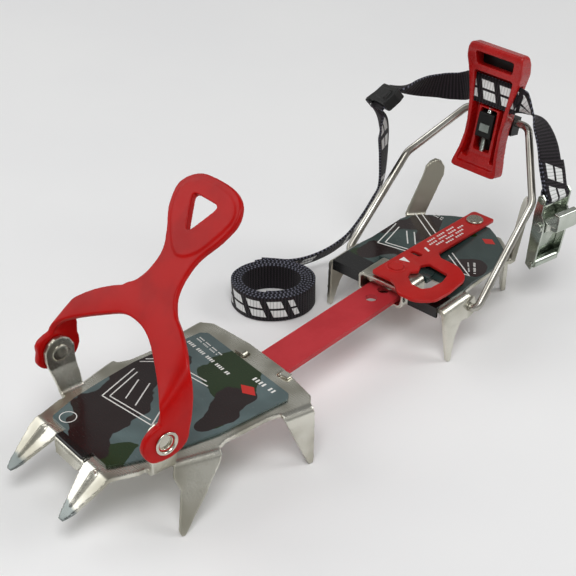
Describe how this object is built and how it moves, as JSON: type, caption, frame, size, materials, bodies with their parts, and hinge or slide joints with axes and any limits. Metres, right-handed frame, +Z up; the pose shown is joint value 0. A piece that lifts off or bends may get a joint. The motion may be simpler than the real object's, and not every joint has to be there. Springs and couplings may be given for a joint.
{
  "type": "crampon",
  "caption": "Left-foot strap-on crampon with pointed front and heel steel sections on an adjustable bar, a toe basket, and a wire heel bail with a lever and strap.",
  "frame": {"origin": "on the ground under the middle of the object's box", "axes": "+Z up, the toe points to -Y, +X is the outer side of the left foot; the heel section and the bar lie along Y"},
  "size_m": [0.1556, 0.3402, 0.146],
  "materials": {
    "frame_steel": "satin stainless sheet with bevelled, slightly worn edges",
    "wire_steel": "satin spring wire",
    "rivet_steel": "bright rivets and pins",
    "buckle_steel": "polished pressed steel",
    "screw_steel": "zinc plated",
    "anti_balling": "glossy dark grey-green with darker patches and thin pale lines",
    "basket_red": "satin flexible plastic, red",
    "lever_red": "semi-gloss moulded plastic, red",
    "lock_red": "semi-gloss red coat",
    "bar_red": "semi-gloss red coat",
    "black_plastic": "satin black moulded plastic",
    "webbing": "ribbed black polyester webbing with a pale woven block pattern"
  },
  "bodies": {
    "front_section": {"front_frame": "frame_steel", "front_anti_balling_plate": "anti_balling", "basket_eyelet_left": "rivet_steel", "basket_eyelet_right": "rivet_steel", "front_bar_bracket": "frame_steel", "link_bar": "bar_red"},
    "toe_basket": {"toe_basket": "basket_red"},
    "heel_section": {"heel_frame": "frame_steel", "heel_anti_balling_plate": "anti_balling", "guide_bracket": "frame_steel", "strap_coil": "webbing"},
    "lock_lever": {"lock_lever": "lock_red", "lock_stud": "lock_red", "lock_lever_rivet": "rivet_steel"},
    "bail": {"heel_bail": "wire_steel", "strap_upper": "webbing", "strap_keeper": "black_plastic", "strap_hanging": "webbing", "strap_buckle_end": "webbing"},
    "adjuster": {"adjuster_block": "black_plastic", "adjuster_nut": "screw_steel"},
    "heel_lever": {"heel_lever": "lever_red", "strap_in_lever": "webbing"},
    "adjuster_screw": {"adjuster_screw": "screw_steel"},
    "buckle": {"buckle_body": "buckle_steel", "buckle_strap_bar": "buckle_steel", "buckle_cam_pin": "rivet_steel", "buckle_roller": "buckle_steel"},
    "buckle_cam": {"buckle_cam": "buckle_steel"}
  },
  "joints": [
    {"name": "basket_fold", "type": "hinge", "parent": "front_section", "child": "toe_basket", "pos_m": [-0.00692, -0.1212, 0.05474], "axis": [0.9863, -0.165, 0], "range_deg": [-45, 80]},
    {"name": "length_adjust", "type": "slide", "parent": "front_section", "child": "heel_section", "axis": [0, 1, 0], "range_m": [-0.02116, 0.03174]},
    {"name": "lock_lift", "type": "hinge", "parent": "heel_section", "child": "lock_lever", "pos_m": [0.0127, 0.15899, 0.03459], "axis": [-1, 0, 0], "range_deg": [0, 6], "stiffness_Nm_per_rad": 5, "springref_deg": -5.73},
    {"name": "bail_swing", "type": "hinge", "parent": "heel_section", "child": "bail", "pos_m": [0.0127, 0.08999, 0.0253], "axis": [1, 0, 0], "range_deg": [-20, 60], "deforming": ["strap_hanging"]},
    {"name": "lever_throw", "type": "hinge", "parent": "bail", "child": "adjuster", "pos_m": [0.0127, 0.16543, 0.09899], "axis": [1, 0, 0], "range_deg": [-90, 45], "deforming": ["strap_upper", "strap_buckle_end"]},
    {"name": "height_adjust", "type": "slide", "parent": "adjuster", "child": "heel_lever", "axis": [0, 0.2419, 0.9703], "range_m": [-0.00129, 0.00552]},
    {"name": "screw_turn", "type": "hinge", "parent": "heel_lever", "child": "adjuster_screw", "pos_m": [0.0127, 0.15597, 0.10135], "axis": [0, 0.2419, 0.9703], "range_deg": [-720, 3060]},
    {"name": "buckle_hang", "type": "hinge", "parent": "bail", "child": "buckle", "pos_m": [0.06269, 0.15232, 0.07213], "axis": [0.2079, 0.9781, 0], "range_deg": [-65, 4]},
    {"name": "cam_open", "type": "hinge", "parent": "buckle", "child": "buckle_cam", "pos_m": [0.06277, 0.15231, 0.05513], "axis": [0.2079, 0.9781, 0], "range_deg": [0, 60]}
  ],
  "couplings": [
    {"joint": "screw_turn", "follows": "height_adjust", "rad_per_m": 8976}
  ]
}
